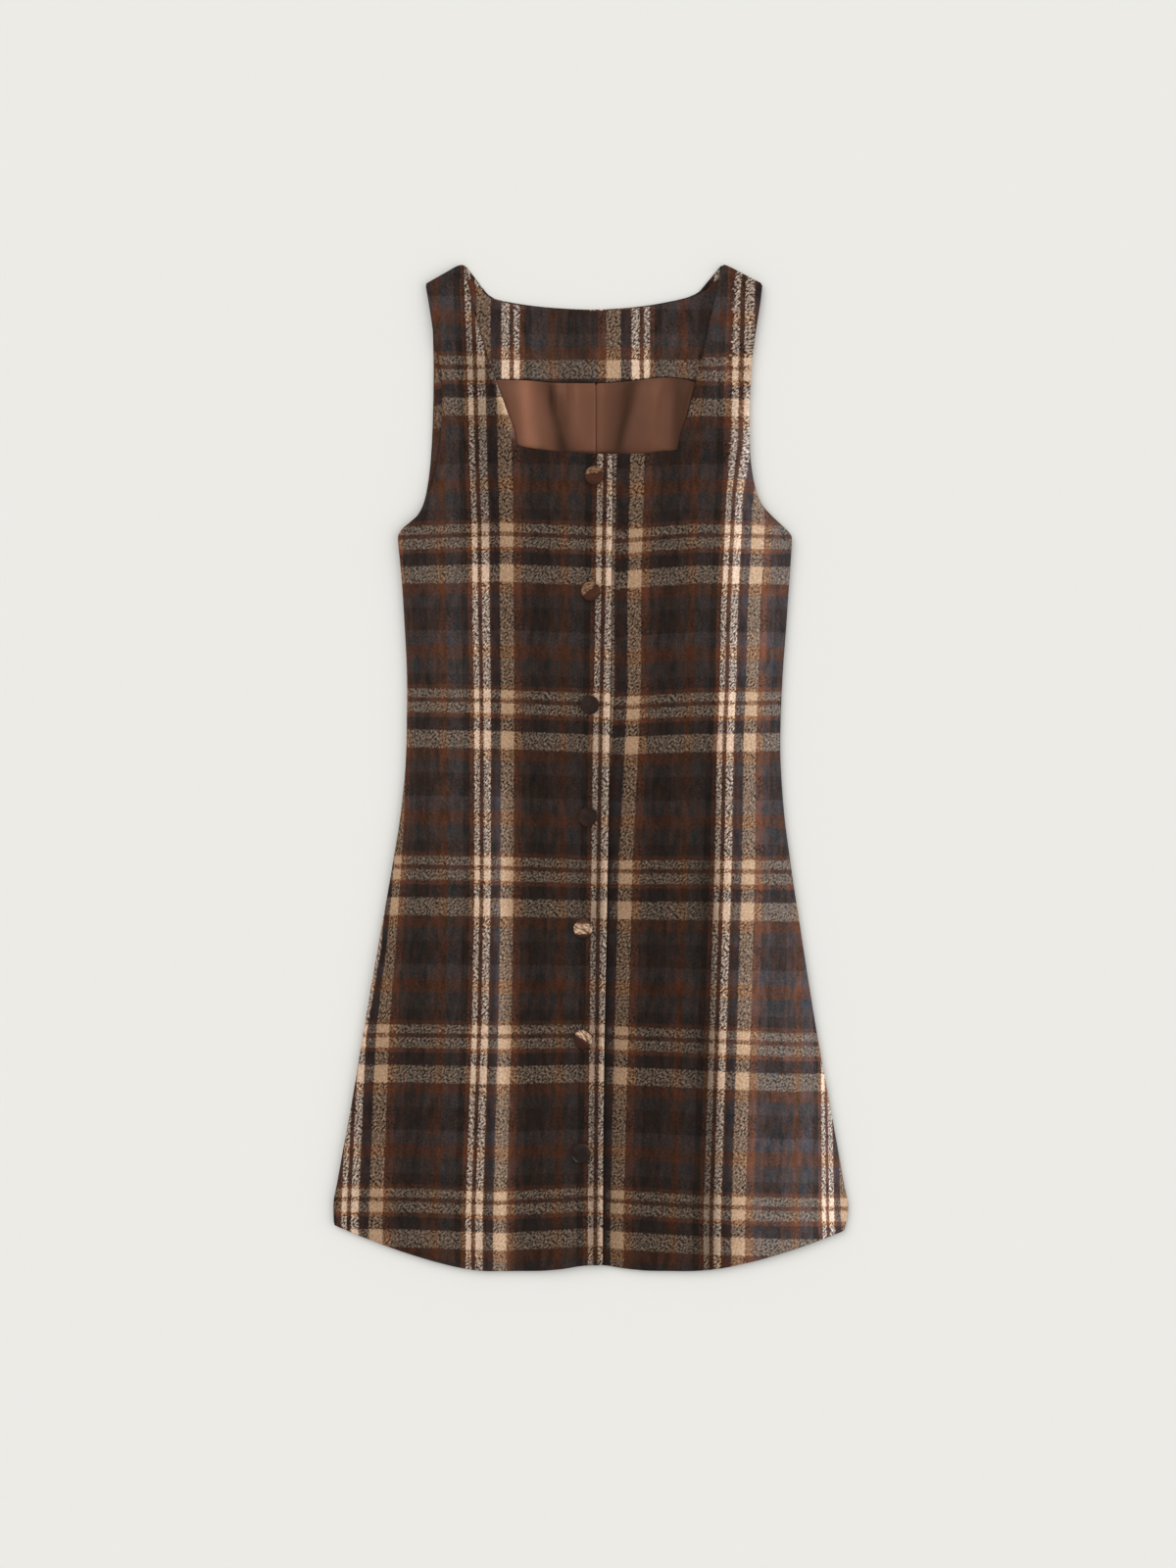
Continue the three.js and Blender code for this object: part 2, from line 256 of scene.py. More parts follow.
def fill_plan(ring, grid):
    low, high = ring.min(0), ring.max(0)
    rows = np.arange(low[1] + grid / 2, high[1], grid * 0.87)
    places = []
    for i, y in enumerate(rows):
        xs = np.arange(low[0] + grid * (0.5 if i % 2 else 0.0), high[0], grid)
        places.append(np.stack([xs, np.full(len(xs), y)], axis=1))
    places = np.vstack(places)
    places = places[inside(places, ring)]
    places = places[distance_in(places, ring) > 0.62 * grid]
    points = np.vstack([ring, places])
    edges = [(i, (i + 1) % len(ring)) for i in range(len(ring))]
    made = geometry.delaunay_2d_cdt([Vector(p) for p in points], edges, [], 1, 1e-7)
    return np.array([(v.x, v.y) for v in made[0]]), np.array(made[2])


def neighbour_mean(values, triangles, passes):
    """Evens out the heights over a plan of triangles."""
    a = np.concatenate([triangles[:, [0, 1, 2]].ravel(), triangles[:, [1, 2, 0]].ravel()])
    b = np.concatenate([triangles[:, [1, 2, 0]].ravel(), triangles[:, [0, 1, 2]].ravel()])
    count = np.maximum(np.bincount(a, minlength=len(values)), 1)
    for _ in range(passes):
        values = 0.5 * values + 0.5 * np.bincount(a, weights=values[b], minlength=len(values)) / count
    return values


def height_of(node, points, from_below=False):
    """The height of a solid's top, or of its underside, at each point of a plan."""
    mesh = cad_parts[node].data
    tree = BVHTree.FromPolygons([v.co for v in mesh.vertices], [f.vertices for f in mesh.polygons])
    low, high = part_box(node)
    way, level = (1, low.z) if from_below else (-1, high.z)
    heights = []
    for x, y in points:
        hit = tree.ray_cast(Vector((x, y, -way)), Vector((0, 0, way)))[0]
        if hit is None:
            hit = tree.find_nearest(Vector((x, y, level)))[0]
        heights.append(hit.z)
    return np.array(heights)


def sheet_of_cloth(name, node, thickness, form, threads, tone=None, even=40, grid=GRID, room=None):
    """A sheet on its solid: form(points, edge) adds to its height, threads(points) counts its threads.
    tone(points, edge) is the light and shade painted into it, 1 as woven, and room(points) gives the
    lowest and highest that its underside and its top may lie."""
    outline = cut_line(node)
    roll = thickness / 2
    ring = outline - ring_normals(outline) * roll
    plan, faces = fill_plan(ring, grid)
    corner = plan[faces]
    turn = np.cross(corner[:, 1] - corner[:, 0], corner[:, 2] - corner[:, 0])
    faces[turn < 0] = faces[turn < 0][:, ::-1]
    edge = distance_in(plan, outline)
    top = neighbour_mean(height_of(node, plan), faces, even)
    top = top + form(plan, edge)
    if room:
        low, high = room(plan)
        for _ in range(3):
            top = neighbour_mean(np.clip(top, low + thickness, high), faces, 2)
        top = np.clip(top, low + thickness, high)
    count = len(plan)
    rim = boundary_loop(faces)
    out = ring_normals(plan[rim])
    points = [np.column_stack([plan, top]), np.column_stack([plan, top - thickness])]
    plans = [plan, plan]
    for step in range(1, RIM_STEPS):
        angle = math.pi * step / RIM_STEPS
        reach = plan[rim] + out * roll * math.sin(angle)
        points.append(np.column_stack([reach, top[rim] - roll + roll * math.cos(angle)]))
        plans.append(reach)
    levels = [rim] + [2 * count + k * len(rim) + np.arange(len(rim)) for k in range(RIM_STEPS - 1)]
    levels.append(rim + count)
    polygons = faces.tolist() + (faces[:, ::-1] + count).tolist()
    for upper, lower in zip(levels, levels[1:]):
        u2, l2 = np.roll(upper, -1), np.roll(lower, -1)
        polygons += np.stack([upper, lower, l2, u2], axis=1).tolist()
    everywhere = np.vstack(plans)
    tones = tone(everywhere, distance_in(everywhere, outline)) if tone else np.ones(len(everywhere))
    print(f"{name}: {len(polygons)} faces, {np.ptp(top) / MM:.1f} mm from low to high")
    return make_piece(name, np.vstack(points).tolist(), polygons, threads(everywhere), tones)


def boundary_loop(faces):
    """The ring of points round a patch of triangles, counter-clockwise."""
    edges = {(int(a), int(b)) for f in faces for a, b in zip(f, np.roll(f, -1))}
    follows = {a: b for a, b in edges if (b, a) not in edges}
    start = next(iter(follows))
    loop = [start]
    while follows[loop[-1]] != start:
        loop.append(follows[loop[-1]])
    return np.array(loop)


def make_piece(name, points, polygons, threads, tones):
    """A smooth piece. Each point stores its threads across and down and its tone, which is painted
    light and shade, for the weave.
    """
    mesh = bpy.data.meshes.new(name)
    mesh.from_pydata(points, [], polygons)
    mesh.validate()
    mesh.polygons.foreach_set("use_smooth", [True] * len(mesh.polygons))
    layer = mesh.attributes.new("threads", "FLOAT_VECTOR", "POINT")
    layer.data.foreach_set("vector", np.column_stack([threads, tones]).astype(np.float32).ravel())
    piece = bpy.data.objects.new(name, mesh)
    scene.collection.objects.link(piece)
    return piece


# %% [markdown]
# A weaver writes a check as a thread count: so many threads of each colour across, and so many down.
# Here one repeat has 200 threads each way, closer together across than down. Each front hangs a little
# differently, so short tables say where a stripe and a band cross it, and threads are counted from them.

# %% The check as a thread count
REPEAT = 200
ACROSS = 111.2 * MM  # one repeat of the warp
DOWN = 148.8 * MM  # one repeat of the weft

YARNS = {
    "cream": (0.76, 0.55, 0.415),
    "oat": (0.43, 0.29, 0.190),
    "tan": (0.300, 0.172, 0.090),
    "red": (0.080, 0.0268, 0.0125),
    "rust": (0.051, 0.0184, 0.0086),
    "brown": (0.060, 0.0225, 0.0120),
    "grey brown": (0.0292, 0.0164, 0.0124),
    "slate": (0.0238, 0.0182, 0.0154),
    "blue grey": (0.0335, 0.0245, 0.0217),
    "navy": (0.0220, 0.0132, 0.0120),
    "black": (0.0146, 0.0094, 0.0073),
}
WARP_COUNT = [
    ("cream", 8), ("red", 7), ("cream", 12), ("brown", 3), ("navy", 14), ("tan", 22), ("red", 13),
    ("grey brown", 14), ("black", 32), ("grey brown", 17), ("rust", 15), ("blue grey", 24),
    ("black", 11), ("red", 8),
]
WEFT_COUNT = [
    ("oat", 10), ("brown", 5), ("oat", 13), ("red", 5), ("black", 16), ("oat", 21), ("rust", 14),
    ("slate", 16), ("black", 28), ("blue grey", 17), ("rust", 16), ("slate", 20), ("black", 13),
    ("rust", 6),
]
assert sum(n for _, n in WARP_COUNT) == sum(n for _, n in WEFT_COUNT) == REPEAT

# Where the first thin stripe (thread 0) and the next one (thread 200) cross the right front, in mm:
# height, stripe at the side, stripe at the button line
RIGHT_FRONT_STRIPES = [
    (432, -112.5, 6.5), (353, -109.9, 6.5), (265, -107.7, 6.3), (217, -105.7, 5.6), (143, -105.1, 4.6),
    (73, -103.7, 3.4), (20, -103.4, 2.4), (-102, -103.2, 0.8), (-234, -105.5, -0.6), (-400, -111.2, -2.2),
]
# On the left front: height, left edge of the tan stripe (thread 44), thin stripe (thread 200)
LEFT_FRONT_STRIPES = [
    (432, 38.0, 127.2), (353, 37.0, 124.0), (265, 35.4, 122.9), (217, 34.2, 120.4), (143, 32.9, 116.9),
    (73, 33.0, 115.7), (20, 30.8, 113.4), (-85, 25.2, 111.0), (-234, 21.5, 106.2), (-400, 17.5, 101.0),
]
# The top of each pair of thin bands: thread, then its height at the side, the middle and the front edge
RIGHT_FRONT_BANDS = [
    (0, 367.0, 366.8, 366.0), (200, 214.5, 218.0, 214.5), (400, 70.5, 69.0, 65.7),
    (600, -78.8, -80.0, -83.2), (800, -229.4, -230.5, -229.4), (1000, -375.6, -379.0, -374.4),
]
LEFT_FRONT_BANDS = [
    (0, 365.5, 365.5, 364.0), (200, 215.0, 217.0, 210.6), (400, 67.4, 66.5, 62.2),
    (600, -83.2, -83.0, -83.2), (800, -237.3, -234.0, -231.1), (1000, -384.3, -382.0, -376.9),
]
# Extra cloth that turns away at a side and shows foreshortened, or less than none where it is
# stretched: height and amount in mm, and how far in it reaches
RIGHT_FRONT_WRAP = [(450, 3), (200, 6), (60, 11), (-110, 17), (-160, 17), (-240, 2), (-400, 0)]
LEFT_FRONT_WRAP = [(450, -6), (290, -6), (215, 6), (60, 10), (-110, 6), (-240, 10), (-400, 21)]
RIGHT_WRAP_REACH = 13 * MM
LEFT_WRAP_REACH = 19 * MM
HEM_CORNER = -362 * MM  # below this the outline turns in along the hem


def outer_edge(node, heights, side):
    """Where a solid's side edge lies at each height, carried straight on below the hem's corner."""
    ring = resample(plan_outline(node), 2 * MM)
    reach = side * ring[:, 0]
    ring, reach = ring[reach > 90 * MM], reach[reach > 90 * MM]
    levels = np.arange(HEM_CORNER, ring[:, 1].max(), 4 * MM)
    outer = np.array([reach[np.abs(ring[:, 1] - level) < 4 * MM].max(initial=0) for level in levels])
    levels, outer = levels[outer > 0], outer[outer > 0]
    below = (outer[0] - outer[10]) / (levels[10] - levels[0]) * np.clip(HEM_CORNER - heights, 0, None)
    return side * (np.interp(heights, levels, outer) + below)


def side_wrap(node, points, side, rows, reach):
    """The extra cloth in metres, at each point."""
    x, y = points.T
    edge = outer_edge(node, y, side)
    return read_table(rows, 1, y / MM) * MM * np.exp(-np.abs(edge - x) / reach)


def bands_down(rows, share, y):
    """Threads down the cloth at heights y, where share runs from 0 at the side to 1 at the front edge."""
    thread, side, middle, front = np.array(rows, float).T
    counts = []
    for height, s in zip(y / MM, share):
        place = side + (middle - side) * 2 * s if s < 0.5 else middle + (front - middle) * (2 * s - 1)
        beyond = max(place[-1] - height, 0) - max(height - place[0], 0)
        counts.append(np.interp(-height, -place, thread) + beyond * MM * REPEAT / DOWN)
    return np.array(counts)


# The stretch over which the bands of each front are read, from its side to its front edge
RIGHT_FRONT_SPAN = (-165 * MM, 5 * MM)
LEFT_FRONT_SPAN = (175 * MM, 15 * MM)
TAN_THREAD = 44  # where the tan stripe starts in the chart
LAP_PACE = 0.74  # threads under the lap, against those beside it


def across_span(x, span):
    side, front = span
    return np.clip((x - side) / (front - side), 0, 1)


def right_front_threads(points):
    x, y = points.T
    first = read_table(RIGHT_FRONT_STRIPES, 1, y / MM) * MM
    second = read_table(RIGHT_FRONT_STRIPES, 2, y / MM) * MM
    inner = REPEAT * (x - first) / (second - first)
    wrap = side_wrap("right_front", points, -1, RIGHT_FRONT_WRAP, RIGHT_WRAP_REACH)
    outer = REPEAT * (x - first - wrap) / ACROSS
    down = bands_down(RIGHT_FRONT_BANDS, across_span(x, RIGHT_FRONT_SPAN), y)
    return np.column_stack([np.where(x > first, inner, outer), down])


def left_front_threads(points):
    x, y = points.T
    tan = read_table(LEFT_FRONT_STRIPES, 1, y / MM) * MM
    thin = read_table(LEFT_FRONT_STRIPES, 2, y / MM) * MM
    past_tan = (REPEAT - TAN_THREAD) * (x - tan) / (thin - tan)
    inner = TAN_THREAD + np.where(x < tan, LAP_PACE * past_tan, past_tan)
    wrap = side_wrap("left_front", points, 1, LEFT_FRONT_WRAP, LEFT_WRAP_REACH)
    outer = REPEAT + REPEAT * (x - thin + wrap) / ACROSS
    down = bands_down(LEFT_FRONT_BANDS, across_span(x, LEFT_FRONT_SPAN), y)
    return np.column_stack([np.where(x < thin, inner, outer), down])


# Where the check lies on the other pieces, across and down: a thread, its place in mm, and how fast
# the count runs from there, against the chart. The neck facing is cut the other way up.
BACK_MARKS = ((0, -112, 1), (0, 372, -1))
NECK_MARKS = ((67, -102.3, -0.957), (70, 363.3, 0.95))
ARMHOLE_MARKS = ((0, -112, 1), (0, 370.3, -0.77))
ARMHOLE_FROM = 118 * MM  # beyond this the facing is an armhole's


def count_from(marks, points):
    counts = []
    for (thread, start, pace), place, length in zip(marks, points.T, (ACROSS, DOWN)):
        counts.append(thread + REPEAT * (place - start * MM) * pace / length)
    return np.column_stack(counts)


def back_threads(points):
    return count_from(BACK_MARKS, points)


def facing_threads(points):
    armhole = np.abs(points[:, :1]) > ARMHOLE_FROM
    return np.where(armhole, count_from(ARMHOLE_MARKS, points), count_from(NECK_MARKS, points))


# %% [markdown]
# The nap is brushed. Light and shade are painted into the wool's colour as one tone for each point:
# paler at the sides, along a folded edge and on the facing. Two short charts say how much.

# %% Painted light and shade on the wool
START = (-900, -800)  # a fade that lies beyond the dress, so what it bounds is full to the end
END = (800, 900)
# Soft upright streaks of painted light or shade, in mm: how much paler, the middle and half width
# across, the heights where it starts and is full, and the heights where it starts to fade and ends
PAINTED_LIGHT_STREAKS = [
    (-0.32, 8, 22, START, END), (-0.20, 6, 12, START, (-150, -20)), (1.70, -80, 8, START, (-60, 60)),
    (-0.80, -100, 18, (150, 240), (350, 410)), (-0.75, -110, 4.5, (320, 390), END),
    (-0.62, 107, 15, START, (-60, 60)), (-0.60, 124, 14, (215, 290), (290, 350)),
    (0.45, 117, 10, (290, 350), END),
]
# Broad fields in the same way, with their fade at the left and at the right in place of the streak
PAINTED_LIGHT_FIELDS = [
    (0.125, START, (-125, -78), START, END), (0.375, START, (-125, -78), (-220, 0), END),
    (1.95, (104, 150), END, START, END), (-0.12, (22, 60), (95, 118), START, (-160, 20)),
    (-1.2, (120, 128), END, (290, 350), END), (-0.6, (132, 140), END, (290, 350), END),
    (0.16, START, END, (-10, 80), END),
]


def between(value, fades_in, fades_out):
    """1 between two places, fading in before the first and out after the second."""
    return ramp(value, *fades_in) * (1 - ramp(value, *fades_out))


# Painted light and shade on the wool, as one tone for each point
def painted_light_tone(points):
    x, y = (points / MM).T
    tone = np.ones(len(points))
    for paler, middle, half_width, rise, fall in PAINTED_LIGHT_STREAKS:
        tone += paler * bell((x - middle) / half_width) * between(y, rise, fall)
    for paler, left, right, rise, fall in PAINTED_LIGHT_FIELDS:
        tone += paler * between(x, left, right) * between(y, rise, fall)
    return tone


# Painted highlights: a pale line along the folded front edge and along the slanting neck edge
FOLD_GLINT = 0.55
FOLD_LINE = 1.6 * MM  # how far inside the folded edge the painted highlight lies
FOLD_WIDE = 1.5 * MM
NECK_GLINT = 2.6
NECK_WIDE = 2.6 * MM
LAP_FROM = 8 * MM  # the folded front edge lies beyond this
LAP_SHADE = 0.6
LAP_SHADE_WIDE = 3.5 * MM
# Painted light makes the facing paler all over
FACING_PAINTED_LIGHT = 1.62


def right_front_tone(points, edge):
    """Painted light and shade, with painted highlights on the folded front edge and the neck's slant."""
    x, y = points.T / MM
    at_fold = (points[:, 0] > LAP_FROM) * bell((edge - FOLD_LINE) / FOLD_WIDE)
    slant = between(x, (-90, -84), (-56, -50)) * ramp(y, 286, 300)
    return painted_light_tone(points) + FOLD_GLINT * at_fold + NECK_GLINT * slant * bell(edge / NECK_WIDE)


def left_front_tone(points, edge):
    """The lap shades the other front just beyond its fold."""
    ring = resample(plan_outline("right_front"), 2 * MM)
    ring = ring[ring[:, 0] > LAP_FROM]
    ring = ring[np.argsort(ring[:, 1])]
    past_fold = points[:, 0] - np.interp(points[:, 1], ring[:, 1], ring[:, 0])
    return painted_light_tone(points) - LAP_SHADE * bell(past_fold / LAP_SHADE_WIDE)


# The facing's tone is painted light, the same at every point
def facing_painted_light(points, edge):
    return np.full(len(points), FACING_PAINTED_LIGHT)


print("threads in a repeat:", REPEAT, "each way")

# %% [markdown]
# The weave itself is a node group, because the panels and the buttons both use it. It counts threads,
# picks each thread's colour from the two charts, and lets two threads pass over and two under in
# steps, which draws the diagonal ribs of twill. Pale threads look dim where dark fibres cover them.

# %% Small tools for building node groups


def set_values(node, values):
    for label, value in values.items():
        node.inputs[label].default_value = value


def value_of(group, kind, operation, *feeds):
    node = group.nodes.new(kind)
    if operation:
        node.operation = operation
    for socket, feed in zip(node.inputs, feeds):
        if isinstance(feed, bpy.types.NodeSocket):
            group.links.new(feed, socket)
        elif feed is not None:
            socket.default_value = feed
    return node.outputs[0]


def sum_of(group, operation, *feeds):
    return value_of(group, "ShaderNodeMath", operation, *feeds)


def mix_colour(group, share, first, second, way="MIX"):
    node = group.nodes.new("ShaderNodeMix")
    node.data_type = "RGBA"
    node.blend_type = way
    sockets = [s for s in node.inputs if s.enabled]
    for socket, feed in zip(sockets, (share, first, second)):
        if isinstance(feed, bpy.types.NodeSocket):
            group.links.new(feed, socket)
        else:
            socket.default_value = feed if isinstance(feed, (int, float)) else (*feed, 1)
    return next(s for s in node.outputs if s.enabled)


def noise_value(group, vector, detail):
    node = group.nodes.new("ShaderNodeTexNoise")
    set_values(node, {"Scale": 1.0, "Detail": detail})
    group.links.new(vector, node.inputs["Vector"])
    return node.outputs["Fac"]


def vector_of(group, x, y, z=0.0):
    return value_of(group, "ShaderNodeCombineXYZ", None, x, y, z)


def parts_of(group, vector):
    return value_of(group, "ShaderNodeSeparateXYZ", None, vector).node.outputs


def colour_chart(group, threads, chart):
    """A thread's colour: a ramp with one hard step for each run of the chart."""
    place = sum_of(group, "FRACT", sum_of(group, "DIVIDE", threads, REPEAT))
    node = group.nodes.new("ShaderNodeValToRGB")
    node.color_ramp.interpolation = "CONSTANT"
    group.links.new(place, node.inputs["Fac"])
    stops = node.color_ramp.elements
    stops.remove(stops[1])
    start = 0
    for i, (yarn, count) in enumerate(chart):
        stop = stops[0] if i == 0 else stops.new(start / REPEAT)
        stop.position = start / REPEAT
        stop.color = (*YARNS[yarn], 1)
        start += count
    return node.outputs["Color"]


def new_weave(name, vectors, numbers):
    """A node group that takes these inputs and gives a colour, a height and a roughness."""
    group = bpy.data.node_groups.new(name, "ShaderNodeTree")
    inputs = [("Vector", label) for label in vectors] + [("Float", label) for label in numbers]
    outputs = [("Color", "Color"), ("Float", "Height"), ("Float", "Roughness")]
    for way, sockets in (("INPUT", inputs), ("OUTPUT", outputs)):
        for kind, label in sockets:
            group.interface.new_socket(label, in_out=way, socket_type=f"NodeSocket{kind}")
    return group, group.nodes.new("NodeGroupInput"), group.nodes.new("NodeGroupOutput")


# %% The checked twill
WARP_SHOWS = 0.84  # how bright a dull warp thread stays over dark weft
WEFT_SHOWS = 0.45
PALE_DIMS = 0.29  # how much more a brighter thread dims there
CONTRAST = (1.15, 2.6)  # a thread counts as pale over dark from these, by how dark the lower one is
BLEACHED = 0.27  # how far a pale thread over a dark one looks grey
BORROWED = (4.5, 8.0, 15.0)  # how strongly it takes on the tint of the thread that it crosses
DARKEST_GRAIN = 0.06
TWILL = 4  # threads in one step of the weave, two over and two under
STRAY = 4.8  # threads that the edge of a stripe wanders, for brushed cloth
BRUSHED = 0.25  # how far the upper thread of a crossing still hides the lower one
CROWN_SHADE = (0.04, 0.14)  # painted shade across a thread, on its like and over a darker one
MEAN_CROWN = 1.27  # twice the mean height of a round thread
FLECKS = (0.924, 4.2)  # how strong flecks are, in the same two cases
FLECK_RATES = (0.4592, 0.3075)  # flecks in a millimetre, across the ribs and along them
THREAD_WIDE = ACROSS / REPEAT / MM
THREAD_HIGH = DOWN / REPEAT / MM
# Smooth noises: bumps to each thread across and down, a seed and how much fine detail they have
WARP_STRAYS = (0.8, 0.6, 3.0, 0.0)
WEFT_STRAYS = (0.8, 0.6, 8.0, 0.0)
STREAKS = (0.10, 0.012, 0.0, 2.0)
RED_FIBRES = (0.10, 0.045, 5.0, 2.5)
BLUE_FIBRES = (0.09, 0.05, 11.0, 2.5)
SPECKS = (0.9, 0.5, 0.0, 0.0)
DRIFT = (0.022, 0.028, 3.0, 2.0)
STREAK_CONTRAST = 2.2
STREAK_SHOWS = 0.45
WARM_STREAK = (0.050, 0.017, 0.008)
COOL_STREAK = (0.026, 0.022, 0.021)
DULL = (1.3, 14.0)  # a yarn counts as dark from these, by how bright it is
HEATHER = 2.0  # how strongly fibres of other colours show in the dark yarns
REDDISH = (1.0, 0.5, 0.25)
BLUISH = (0.15, 0.45, 0.80)
DARKEST_FIBRE = 0.3
DRIFT_SHOWS = 0.30
SPECK_HEIGHT = 0.8
SPECK_ROUGH = 0.2
WOOL_ROUGH = 0.90
PALE_TAKES_LIGHT = 0.40  # how much a pale yarn takes painted light, against a dark one
DARK_TAKES_SHADE = 0.5  # how much a dark yarn takes painted shade, against a pale one
PAINTED_LIGHT_TINT = (0.0, 0.10, 0.24)  # painted light is a little bluer
ONE = (1.0, 1.0, 1.0)


def make_twill():
    group, given, result = new_weave("checked_twill", ["Threads"], ["Fuzz", "Ribs", "Shows More"])
    across, down, painted_light = parts_of(group, given.outputs["Threads"])
    warp_number = sum_of(group, "FLOOR", across)
    weft_number = sum_of(group, "FLOOR", down)

    def plus(first, second):
        return sum_of(group, "ADD", first, second)

    def minus(first, second):
        return sum_of(group, "SUBTRACT", first, second)

    def times(first, second):
        return sum_of(group, "MULTIPLY", first, second)

    def clamped(value):
        value.node.use_clamp = True
        return value

    def colour_sum(operation, first, second):
        return value_of(group, "ShaderNodeVectorMath", operation, first, second)

    def shaded(colour, by):
        return colour_sum("MULTIPLY", colour, by)

    def grey(value):
        return vector_of(group, value, value, value)

    def brightness(colour):
        return value_of(group, "ShaderNodeRGBToBW", None, colour)

    def unevenness(x_rate, y_rate, seed, detail):
        """Smooth noise about 0, with so many bumps to each thread across and down."""
        place = vector_of(group, times(across, x_rate), times(down, y_rate), seed)
        return minus(noise_value(group, place, detail), 0.5)

    warp_place = plus(plus(warp_number, 0.5), times(unevenness(*WARP_STRAYS), STRAY))
    weft_place = plus(plus(weft_number, 0.5), times(unevenness(*WEFT_STRAYS), STRAY))
    warp = colour_chart(group, warp_place, WARP_COUNT)
    weft = colour_chart(group, weft_place, WEFT_COUNT)

    # The small amount added keeps the step clear of rounding where a new thread starts
    both = plus(warp_number, weft_number)
    step = sum_of(group, "FRACT", plus(sum_of(group, "DIVIDE", both, TWILL), 0.01))
    warp_up = sum_of(group, "LESS_THAN", step, 0.5)
    warp_shows = plus(0.5 - BRUSHED / 2, times(warp_up, BRUSHED))

    # The raised ribs catch more or less light along their length, so flecks lie along the diagonal
    right, below = times(across, THREAD_WIDE), times(down, THREAD_HIGH)
    rib = vector_of(
        group, times(plus(right, below), FLECK_RATES[0]), times(minus(right, below), FLECK_RATES[1]))
    fleck = times(minus(noise_value(group, rib, 0.0), 0.5), given.outputs["Ribs"])

    def crown(threads):
        """How much a thread faces up: 0 at its sides and 1 along its middle."""
        return sum_of(group, "SINE", times(sum_of(group, "FRACT", threads), math.pi))

    def on_top(own, other, shows, threads):
        """The colour of the thread that passes over: a pale one is dim over a dark one, flecked, and
        painted with more shade across its width.
        """
        light, dark = brightness(own), brightness(other)
        gap = clamped(minus(CONTRAST[0], times(sum_of(group, "DIVIDE", dark, light), CONTRAST[1])))
        keep = minus(plus(shows, given.outputs["Shows More"]), times(light, PALE_DIMS))
        share = minus(1.0, times(gap, minus(1.0, keep)))
        round_up = minus(times(crown(threads), 2.0), MEAN_CROWN)
        thread_shade = times(round_up, plus(CROWN_SHADE[0], times(gap, CROWN_SHADE[1])))
        flecks = times(fleck, plus(FLECKS[0], times(gap, FLECKS[1])))
        lit = times(share, plus(plus(1.0, thread_shade), flecks))
        lit = sum_of(group, "MAXIMUM", lit, DARKEST_GRAIN)
        bleached = mix_colour(group, times(gap, BLEACHED), own, grey(light))
        tint = colour_sum("SUBTRACT", other, grey(dark))
        tint = shaded(tint, vector_of(group, *(times(gap, channel) for channel in BORROWED)))
        return shaded(shaded(bleached, colour_sum("ADD", tint, ONE)), grey(lit))

    woven = mix_colour(
        group, warp_shows, on_top(weft, warp, WEFT_SHOWS, down), on_top(warp, weft, WARP_SHOWS, across))

    # Fibres of other colours are carded into the dark yarns, in long streaks and in short specks
    streak = unevenness(*STREAKS)
    warm, cool = clamped(times(streak, STREAK_CONTRAST)), clamped(times(streak, -STREAK_CONTRAST))
    dyed = mix_colour(group, times(warm, STREAK_SHOWS), woven, WARM_STREAK, "LIGHTEN")
    dyed = mix_colour(group, times(cool, STREAK_SHOWS), dyed, COOL_STREAK, "LIGHTEN")
    dull = clamped(minus(DULL[0], times(brightness(dyed), DULL[1])))
    fibres = times(dull, HEATHER)
    reddish = shaded(grey(times(unevenness(*RED_FIBRES), fibres)), REDDISH)
    bluish = shaded(grey(times(unevenness(*BLUE_FIBRES), fibres)), BLUISH)
    heather = colour_sum("ADD", colour_sum("ADD", reddish, bluish), ONE)
    dyed = shaded(dyed, colour_sum("MAXIMUM", heather, (DARKEST_FIBRE,) * 3))

    # Painted light from the stored tone makes it paler, the dark yarns most of all, and painted shade
    # darker
    speck = unevenness(*SPECKS)
    drift = times(unevenness(*DRIFT), DRIFT_SHOWS)
    answers = plus(PALE_TAKES_LIGHT, times(dull, 1 - PALE_TAKES_LIGHT))
    paler = times(sum_of(group, "MAXIMUM", minus(painted_light, 1.0), 0.0), answers)
    fades = minus(1.0, times(dull, 1 - DARK_TAKES_SHADE))
    dimmer = times(sum_of(group, "MAXIMUM", minus(1.0, painted_light), 0.0), fades)
    bright = minus(plus(1.0, paler), dimmer)
    bright = times(bright, plus(1.0, plus(times(speck, given.outputs["Fuzz"]), drift)))
    tint = vector_of(group, *(plus(1.0, times(paler, channel)) for channel in PAINTED_LIGHT_TINT))
    group.links.new(shaded(shaded(dyed, grey(bright)), tint), result.inputs["Color"])

    lift = group.nodes.new("ShaderNodeMix")
    group.links.new(warp_up, lift.inputs["Factor"])
    group.links.new(crown(down), lift.inputs["A"])
    group.links.new(crown(across), lift.inputs["B"])
    group.links.new(plus(lift.outputs["Result"], times(speck, SPECK_HEIGHT)), result.inputs["Height"])
    group.links.new(plus(WOOL_ROUGH, times(speck, SPECK_ROUGH)), result.inputs["Roughness"])
    return group


twill = make_twill()
print("nodes in the weave:", len(twill.nodes))

# %% Materials of wool


def new_material(name):
    material = bpy.data.materials.new(name)
    material.use_nodes = True
    tree = material.node_tree
    return material, tree, tree.nodes["Principled BSDF"]


def place_weave(tree, shader, group, threads_feed, strength, distance):
    """Puts a weave in a material. The stored threads and painted tone feed it, and it feeds the shader.
    """
    weave, bump, counted = (
        tree.nodes.new(f"ShaderNode{kind}") for kind in ("Group", "Bump", "Attribute"))
    weave.node_tree = group
    counted.attribute_name = "threads"
    set_values(bump, {"Strength": strength, "Distance": distance})
    tree.links.new(counted.outputs["Vector"], weave.inputs[threads_feed])
    tree.links.new(weave.outputs["Color"], shader.inputs["Base Color"])
    tree.links.new(weave.outputs["Height"], bump.inputs["Height"])
    tree.links.new(bump.outputs["Normal"], shader.inputs["Normal"])
    return weave


RIB_HEIGHT = 0.16 * MM


